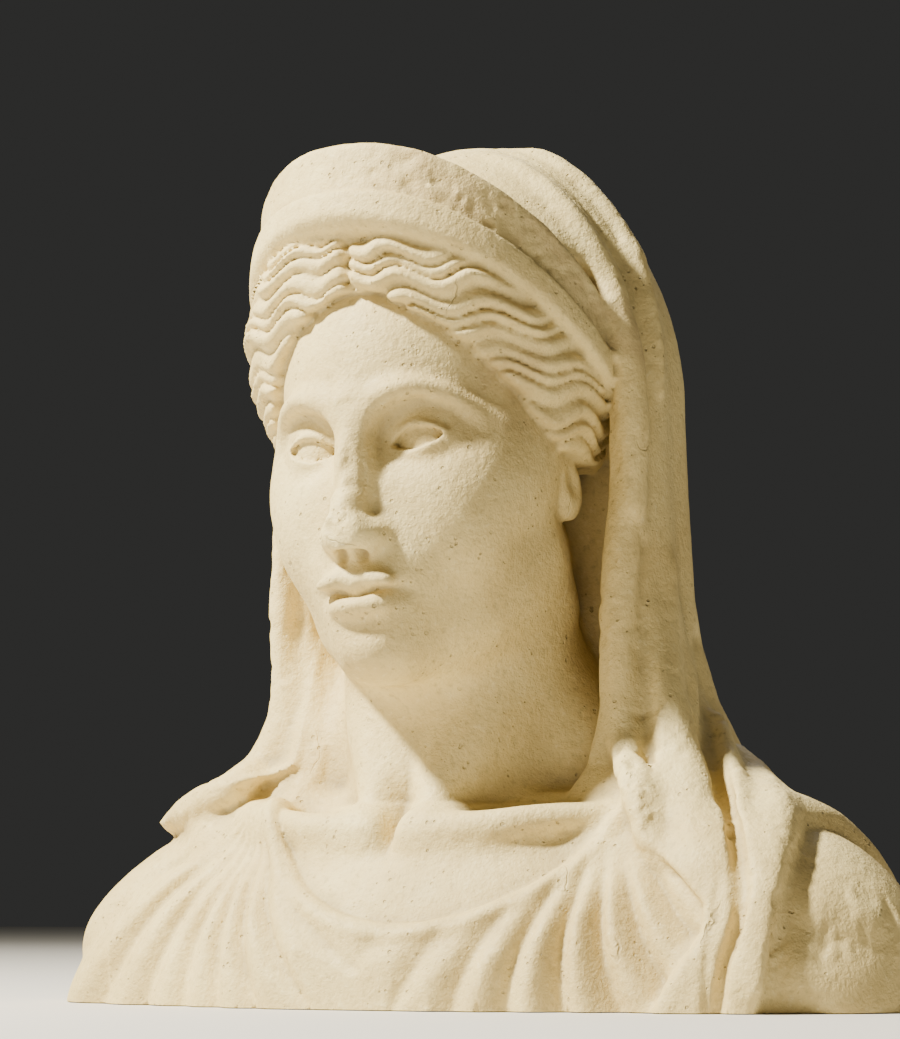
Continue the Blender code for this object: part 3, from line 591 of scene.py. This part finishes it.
def carveBust(name):
    started = time.time()
    step = carveSet["step"] * 1
    points, quads = netSurface(sampleDepth(step), step)
    print("carved", len(quads), "quads", round(time.time() - started), "s")
    piece = bpy.data.objects.new(name, makeMesh(name, points * carveSet["unit"], quads))
    bpy.context.scene.collection.objects.link(piece)
    selectOnly(piece)
    # rubbed over, so that the grid doesn't show in narrow grooves
    rub = piece.modifiers.new("rub", "SMOOTH")
    rub.factor, rub.iterations = carveSet["rubStrength"], carveSet["rubTimes"]
    bpy.ops.object.modifier_apply(modifier=rub.name)
    ratio = carveSet["triangles"] / (2 * len(quads))
    if ratio < 1:
        thin = piece.modifiers.new("thin", "DECIMATE")
        thin.ratio = ratio
        bpy.ops.object.modifier_apply(modifier=thin.name)
    bpy.ops.object.mode_set(mode="EDIT")
    bpy.ops.mesh.select_all(action="SELECT")
    bpy.ops.mesh.bisect(plane_co=(0, 0, 0), plane_no=(0, 0, 1), clear_inner=True, use_fill=True)
    bpy.ops.mesh.select_all(action="SELECT")
    bpy.ops.mesh.quads_convert_to_tris()
    bpy.ops.mesh.normals_make_consistent(inside=False)
    bpy.ops.object.mode_set(mode="OBJECT")
    keepLargest(piece.data)
    mesh = piece.data
    co = np.empty(len(mesh.vertices) * 3, np.float32)
    mesh.vertices.foreach_get("co", co)
    co = co.reshape(-1, 3)
    middle = (co.min(0) + co.max(0)) / 2
    co -= (middle[0], middle[1], 0)
    mesh.vertices.foreach_set("co", co.ravel())
    bpy.ops.object.shade_smooth()
    # crisp edge round the underside
    ends = np.empty(len(mesh.edges) * 2, np.int32)
    mesh.edges.foreach_get("vertices", ends)
    crisp = (np.abs(co[ends.reshape(-1, 2), 2]) < 1e-5).all(1)
    mesh.attributes.new("sharp_edge", "BOOLEAN", "EDGE").data.foreach_set("value", crisp)
    mesh.update()
    print("bust has", len(mesh.polygons), "faces, middle at", middle, round(time.time() - started), "s")
    return piece, middle


def keepLargest(mesh):
    # floating crumbs go
    ends = np.empty(len(mesh.edges) * 2, np.int32)
    mesh.edges.foreach_get("vertices", ends)
    a, b = ends.reshape(-1, 2).T
    label = np.arange(len(mesh.vertices))
    while True:
        low = np.minimum(label[a], label[b])
        new = label.copy()
        np.minimum.at(new, a, low)
        np.minimum.at(new, b, low)
        new = new[new]
        if (new == label).all():
            break
        label = new
    values, counts = np.unique(label, return_counts=True)
    keep = label == values[counts.argmax()]
    if not keep.all():
        b = bmesh.new()
        b.from_mesh(mesh)
        b.verts.ensure_lookup_table()
        bmesh.ops.delete(b, geom=[b.verts[i] for i in np.flatnonzero(~keep)], context="VERTS")
        b.to_mesh(mesh)
        b.free()


bust, middle = carveBust("carved_bust")


# marble

def linear(hexColour):
    rgb = [int(hexColour[i:i + 2], 16) / 255 for i in (1, 3, 5)]
    return tuple(c / 12.92 if c <= 0.04045 else ((c + 0.055) / 1.055) ** 2.4 for c in rgb) + (1.0,)


marbleSet = {
    "fresh": "#E6D294", "worn": "#F4E6B4", "patina": "#CDB67A",
    # the dark grime tone marks speckles and pits, and is also the painted shade in hollows
    "grimeAndShade": "#8C7B54", "stain": "#B39871", "crack": "#857452",
    "roughness": (0.55, 0.8), "ior": 1.5, "specular": 0.35, "bumpDepth": 0.0014, "bumpStrength": 0.75,
    # sizes in metres
    "patchSize": 0.09, "mottleSize": 0.018, "speckSize": 0.004, "grainSize": 0.0016,
    "pitSpacing": 0.0045, "pitPatchSize": 0.03, "pitEdgeSize": 0.007,
    "crackSpacing": 0.075, "crackPatchSize": 0.11, "crackBendSize": 0.025, "crackBend": 0.02,
}


def node(tree, kind, links=(), **settings):
    # one node with its settings; links are (input, value or output socket)
    n = tree.nodes.new(kind)
    for key, value in settings.items():
        setattr(n, key, value)
    for key, value in links:
        if isinstance(value, bpy.types.NodeSocket):
            tree.links.new(value, n.inputs[key])
        else:
            n.inputs[key].default_value = value
    return n


def weatheredMarble():
    # marble, carved and rubbed smooth, then weathered:
    # cream skin, fine pits, hairline cracks, and painted shade darkening the hollows
    s = marbleSet
    material = bpy.data.materials.new("weathered_marble")
    material.use_nodes = True
    t = material.node_tree
    shader = t.nodes["Principled BSDF"]
    place = node(t, "ShaderNodeTexCoord").outputs["Object"]

    def noise(size, detail, roughness=0.5):
        return node(t, "ShaderNodeTexNoise", [("Vector", place), ("Scale", 1 / size), ("Detail", detail),
                                              ("Roughness", roughness)]).outputs["Fac"]

    def spread(value, low, high, a=0.0, b=1.0):
        return node(t, "ShaderNodeMapRange", [("Value", value), ("From Min", low), ("From Max", high),
                                              ("To Min", a), ("To Max", b)]).outputs["Result"]

    def sums(kind, a, b):
        return node(t, "ShaderNodeMath", [(0, a), (1, b)], operation=kind, use_clamp=False).outputs[0]

    def mix(factor, a, b):
        return node(t, "ShaderNodeMix", [(0, factor), (6, a), (7, b)], data_type="RGBA").outputs[2]

    patches, mottle = noise(s["patchSize"], 4, 0.55), noise(s["mottleSize"], 5, 0.6)
    colour = mix(spread(patches, 0.35, 0.68), linear(s["fresh"]), linear(s["patina"]))
    colour = mix(spread(mottle, 0.42, 0.72, 0, 0.55), colour, linear(s["patina"]))
    speckle = noise(s["speckSize"], 3, 0.65)
    colour = mix(spread(speckle, 0.55, 0.8, 0, 0.5), colour, linear(s["grimeAndShade"]))
    colour = mix(spread(speckle, 0.42, 0.25, 0, 0.35), colour, linear(s["worn"]))
    stain = node(t, "ShaderNodeAttribute", attribute_name="stain").outputs["Fac"]
    colour = mix(sums("MULTIPLY", stain, spread(mottle, 0.35, 0.6)), colour, linear(s["stain"]))
    # painted shade: the deeper a spot lies in a hollow or crease, the darker it is painted
    hollow = node(t, "ShaderNodeAttribute", attribute_name="hollow").outputs["Fac"]
    colour = mix(sums("MULTIPLY", hollow, spread(mottle, 0.2, 0.6, 0.5, 1)), colour, linear(s["grimeAndShade"]))
    # pits, one every few millimetres where the skin is worn
    pits = node(t, "ShaderNodeTexVoronoi", [("Vector", place),
                                            ("Scale", 1 / s["pitSpacing"])]).outputs["Distance"]
    worn = spread(noise(s["pitPatchSize"], 3), 0.44, 0.6)
    uneven = spread(noise(s["pitEdgeSize"], 2), 0.45, 0.7, -0.05, 0.22)
    pit = sums("MULTIPLY", spread(sums("SUBTRACT", pits, uneven), 0.12, 0), worn)
    colour = mix(sums("MULTIPLY", pit, 0.45), colour, linear(s["grimeAndShade"]))
    # hairline cracks
    wander = node(t, "ShaderNodeTexNoise", [("Vector", place), ("Scale", 1 / s["crackBendSize"]),
                                            ("Detail", 3)]).outputs["Color"]
    bent = node(t, "ShaderNodeMix", [(0, s["crackBend"]), (4, place), (5, wander)],
                data_type="VECTOR").outputs[1]
    edges = node(t, "ShaderNodeTexVoronoi", [("Vector", bent), ("Scale", 1 / s["crackSpacing"])],
                 feature="DISTANCE_TO_EDGE").outputs["Distance"]
    crack = sums("MULTIPLY", spread(edges, 0.008, 0.002), spread(noise(s["crackPatchSize"], 2), 0.64, 0.7))
    colour = mix(sums("MULTIPLY", crack, 0.7), colour, linear(s["crack"]))
    t.links.new(colour, shader.inputs["Base Color"])
    rough = spread(sums("ADD", mottle, sums("MULTIPLY", stain, 0.4)), 0.3, 0.9, *s["roughness"])
    t.links.new(rough, shader.inputs["Roughness"])
    # grain drawn at 1.6 mm, coarser than real marble, so that it shows
    height = sums("ADD", sums("MULTIPLY", noise(s["grainSize"], 3), 0.3), sums("MULTIPLY", mottle, 0.8))
    height = sums("ADD", height, sums("MULTIPLY", speckle, -0.7))
    height = sums("SUBTRACT", height, sums("MULTIPLY", pit, 0.9))
    height = sums("SUBTRACT", height, sums("MULTIPLY", crack, 1.2))
    bump = node(t, "ShaderNodeBump", [("Height", height), ("Distance", s["bumpDepth"]),
                                         ("Strength", s["bumpStrength"])])
    t.links.new(bump.outputs["Normal"], shader.inputs["Normal"])
    shader.inputs["IOR"].default_value = s["ior"]
    shader.inputs["Specular IOR Level"].default_value = s["specular"]
    return material


def paintShadeAndWear(piece, middle):
    # hollow: how deep a spot lies between its neighbours, used for painted shade in hollows; stain: where
    # the stone is discoloured
    mesh = piece.data
    count = len(mesh.vertices)
    co, no = np.empty(count * 3, np.float32), np.empty(count * 3, np.float32)
    mesh.vertices.foreach_get("co", co)
    mesh.vertices.foreach_get("normal", no)
    co, no = co.reshape(-1, 3), no.reshape(-1, 3)
    ends = np.empty(len(mesh.edges) * 2, np.int32)
    mesh.edges.foreach_get("vertices", ends)
    a, b = ends.reshape(-1, 2).T
    links = np.bincount(a, minlength=count) + np.bincount(b, minlength=count)

    def relax(v):
        return (np.bincount(a, v[b], count) + np.bincount(b, v[a], count)) / np.maximum(links, 1)

    smooth = co.astype(float)
    for _ in range(12):
        smooth = np.stack([relax(smooth[:, k]) for k in range(3)], -1)
    hollow = ((smooth - co) * no).sum(1) * 1000
    for _ in range(2):
        hollow = relax(hollow)
    hollow = ramp(hollow, 0.25, 2.2)
    p = (co + (middle[0], middle[1], 0)) / carveSet["unit"]
    q = (p - np.array(headSet["at"])) @ turned(*headSet["diademTilt"])
    y = q[:, 1] - 2
    low, high = diademEdges(y)
    t = (q[:, 2] - low) / (high - low)
    band = ramp(t, 0.3, 0.5) * (t < 1.3) * (y < 30) * ramp(q[:, 0], -20, 60)
    temple = np.exp(-(((q[:, 0] - 75) / 30) ** 2 + ((q[:, 1] + 45) / 40) ** 2 + ((q[:, 2] - 35) / 30) ** 2))
    stain = np.clip(0.35 * band + 0.3 * temple, 0, 1)
    for name, value in (("hollow", hollow), ("stain", stain)):
        layer = mesh.attributes.new(name, "FLOAT", "POINT")
        layer.data.foreach_set("value", value.astype(np.float32))


paintShadeAndWear(bust, middle)
bust.data.materials.append(weatheredMarble())
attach(bust, "root")
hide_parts("veiled_bust")
print("marble done")


# floor, light and camera

studioSet = {
    "floor": "#CFCBC3", "floorSize": 14, "floorGap": 0.0005, "floorRoughness": 0.9,
    "sky": "#E4E4E0", "skyStrength": 0.04,
    "azimuth": 30.0, "elevation": -6.0, "distance": 2.0, "frameHeight": 0.561, "sensor": 36,
    "target": (-3.3, -1.9, 260.0),   # in the carving's millimetres
    "lit": (0, 0, 0.26),             # what the lights point at
    "lights": (                      # name, azimuth, elevation, distance, size, watts, colour
        ("key", -42.0, 47.0, 2.6, 0.25, 320, (1.0, 0.95, 0.82)),
        ("fill", 70, 15, 3.0, 2.0, 1, (1.0, 0.95, 0.87)),
        ("back", 200, 35, 3.0, 1.5, 22, (1.0, 0.97, 0.92)),
    ),
}


def fromAngles(azimuth, elevation):
    a, e = math.radians(azimuth), math.radians(elevation)
    return np.array([math.sin(a) * math.cos(e), -math.cos(a) * math.cos(e), math.sin(e)])


def aim(thing, back):
    thing.rotation_euler = Vector(back).to_track_quat("Z", "Y").to_euler()


def addLight(name, azimuth, elevation, distance, size, watts, colour):
    lamp = bpy.data.lights.new(name, "AREA")
    lamp.shape, lamp.size, lamp.energy, lamp.color = "DISK", size, watts, colour
    thing = bpy.data.objects.new(name, lamp)
    bpy.context.scene.collection.objects.link(thing)
    back = fromAngles(azimuth, elevation)
    thing.location = np.array(studioSet["lit"]) + back * distance
    aim(thing, back)


def studio(middle):
    s = studioSet
    bpy.ops.object.select_all(action="DESELECT")
    bpy.ops.mesh.primitive_plane_add(size=s["floorSize"], location=(0, 0, -s["floorGap"]))
    floor = bpy.context.object
    floor.name = "floor"
    bpy.ops.object.transform_apply(location=True, rotation=True, scale=True)
    paint = bpy.data.materials.new("pale_floor")
    paint.use_nodes = True
    paint.node_tree.nodes["Principled BSDF"].inputs["Base Color"].default_value = linear(s["floor"])
    paint.node_tree.nodes["Principled BSDF"].inputs["Roughness"].default_value = s["floorRoughness"]
    floor.data.materials.append(paint)
    for light in s["lights"]:
        addLight(*light)
    world = bpy.data.worlds.new("studio")
    world.use_nodes = True
    sky = world.node_tree.nodes["Background"]
    sky.inputs["Color"].default_value = linear(s["sky"])
    sky.inputs["Strength"].default_value = s["skyStrength"]
    bpy.context.scene.world = world
    camera = bpy.data.objects.new("camera", bpy.data.cameras.new("camera"))
    bpy.context.scene.collection.objects.link(camera)
    back = fromAngles(s["azimuth"], s["elevation"])
    target = np.array(s["target"]) * carveSet["unit"] - (middle[0], middle[1], 0)
    camera.location = target + back * s["distance"]
    aim(camera, back)
    camera.data.sensor_width = s["sensor"]
    camera.data.lens = s["sensor"] * s["distance"] / s["frameHeight"]
    bpy.context.scene.camera = camera


studio(middle)
print("studio done")
